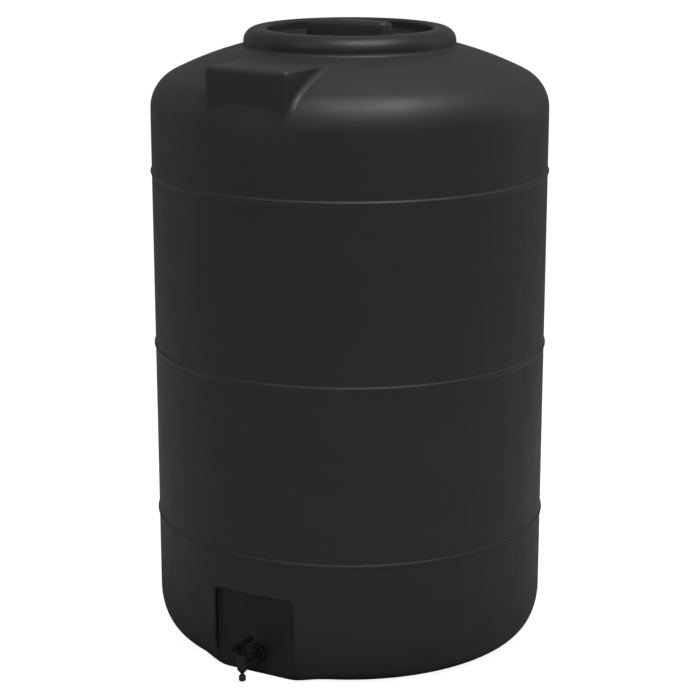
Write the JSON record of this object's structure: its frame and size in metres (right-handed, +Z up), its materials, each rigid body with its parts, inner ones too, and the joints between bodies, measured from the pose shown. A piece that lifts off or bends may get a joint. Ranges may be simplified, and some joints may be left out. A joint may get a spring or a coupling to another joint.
{
  "type": "rain barrel",
  "caption": "Upright black plastic rain barrel with bead ribs, domed shoulder, flat boss, screw lid with a sunken grip, and a recessed plug tap at the foot.",
  "frame": {"origin": "centre of the flat base, on the tank's axis", "axes": "+Z up along the tank's axis; the tap and its recess face -Y"},
  "size_m": [0.7659, 0.828, 1.1966],
  "materials": {
    "tank_polyethylene": "rotomoulded polyethylene, satin to matte",
    "lid_polyethylene": "moulded polyethylene, satin",
    "tap_plastic": "injection-moulded polypropylene, satin",
    "handle_plastic": "injection-moulded polypropylene, satin",
    "nozzle_plastic": "smooth moulded plastic",
    "seal_rubber": "matte rubber"
  },
  "bodies": {
    "tank": {"tank_shell": "tank_polyethylene", "tap_body": "tap_plastic", "tap_outer_washer": "seal_rubber", "tap_outer_nut": "tap_plastic", "tap_inner_washer": "seal_rubber", "tap_locknut": "tap_plastic", "tap_nozzle": "nozzle_plastic", "tap_cap": "tap_plastic", "tap_stem_ring": "seal_rubber"},
    "plug": {"tap_plug": "tap_plastic", "tap_plug_rings": "seal_rubber", "tap_handle": "handle_plastic"},
    "seal": {"lid_seal": "seal_rubber"},
    "lid": {"lid": "lid_polyethylene"}
  },
  "joints": [
    {"name": "tap_turn", "type": "hinge", "parent": "tank", "child": "plug", "pos_m": [0, -0.4108, 0.0406], "axis": [0, 0, 1], "range_deg": [0, 90]},
    {"name": "lid_rise", "type": "slide", "parent": "tank", "child": "seal", "axis": [0, 0, 1], "range_m": [0, 0.0331]},
    {"name": "lid_turn", "type": "hinge", "parent": "seal", "child": "lid", "pos_m": [0, 0, 1.1773], "axis": [0, 0, 1], "range_deg": [0, 990]}
  ],
  "couplings": [
    {"joint": "lid_rise", "follows": "lid_turn", "m_per_rad": 0.0019099}
  ]
}
